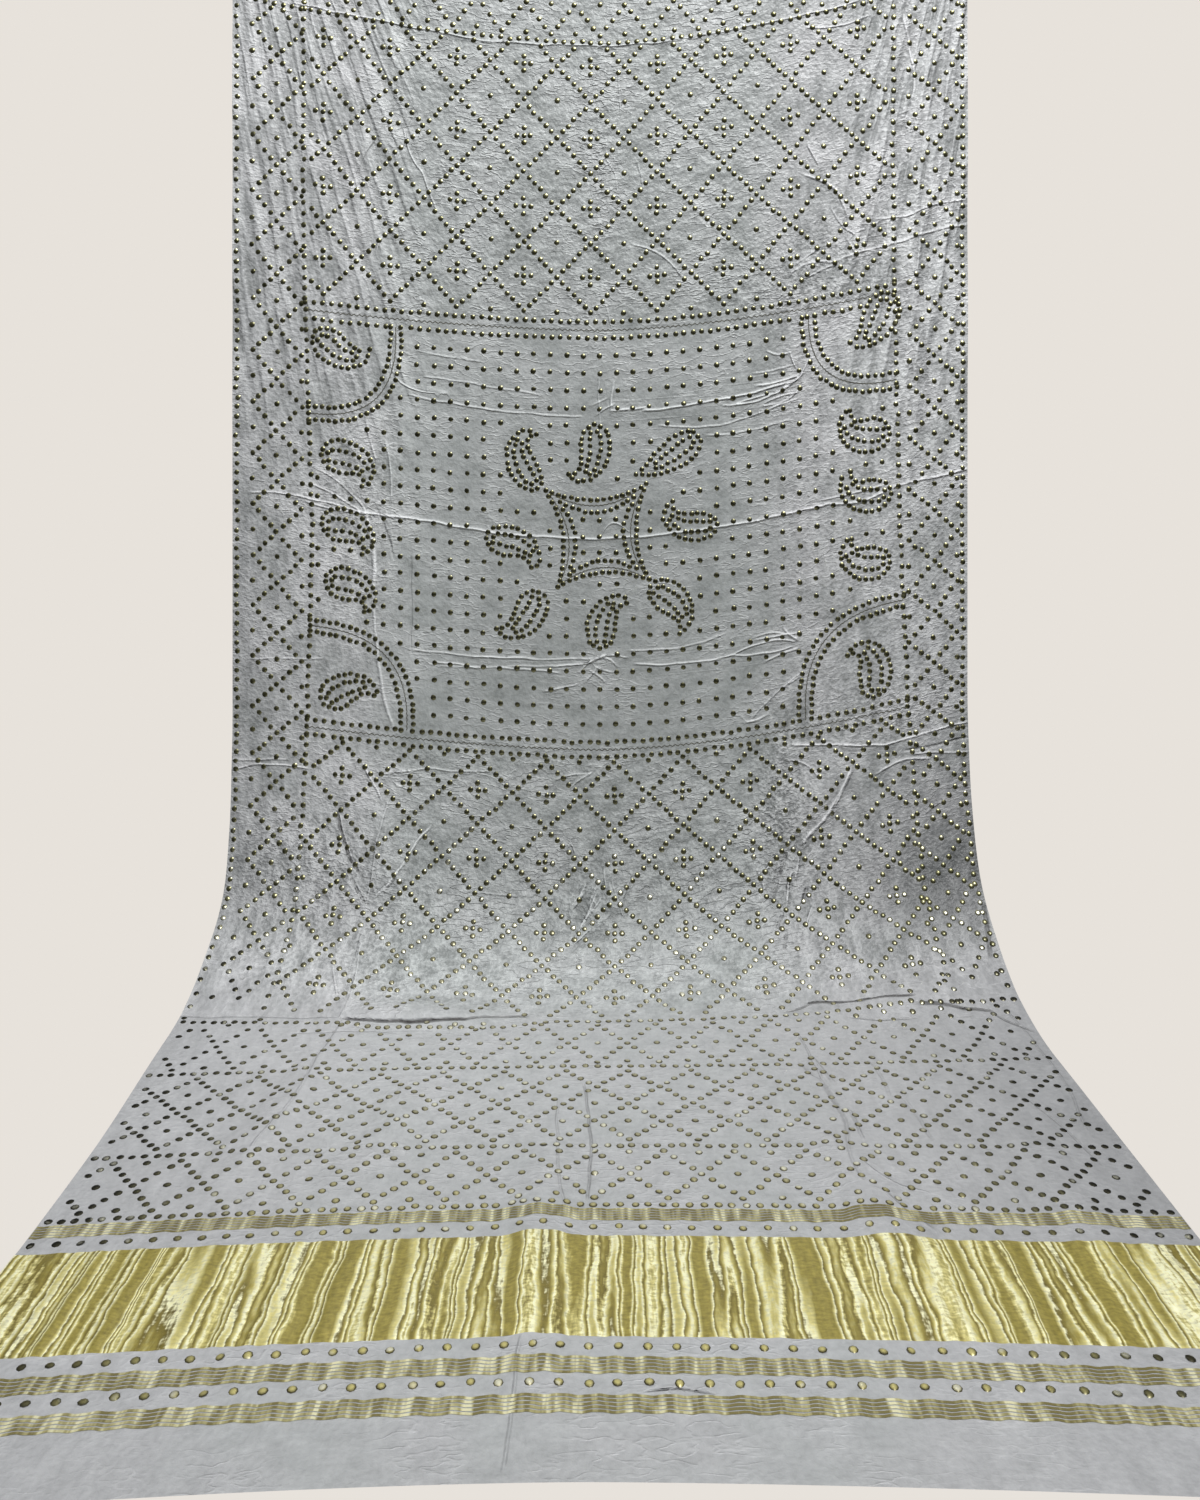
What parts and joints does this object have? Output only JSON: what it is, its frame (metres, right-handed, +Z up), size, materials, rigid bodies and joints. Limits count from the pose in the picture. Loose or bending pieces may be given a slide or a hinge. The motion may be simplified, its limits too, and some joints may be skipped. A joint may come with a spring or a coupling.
{
  "type": "bandhani cloth",
  "caption": "Long satin wrap cloth held at its top corners, with sagging pattern lines, pulled folds and a foot that turns out over the floor.",
  "frame": {"origin": "middle of the top edge, where it lies on the wall", "axes": "+X to the right as seen from the front, -Y out from the wall, +Z up"},
  "size_m": [0.9562, 0.816, 1.858],
  "materials": {
    "satin": "pale grey satin with a soft shine and a fine crinkle",
    "gold_thread": "woven gold metal thread, lengthwise creases",
    "gold_dots": "small polished domed dots",
    "stitching": "fine dark sewing thread"
  },
  "bodies": {
    "root": {"cloth": "satin"}
  },
  "joints": []
}
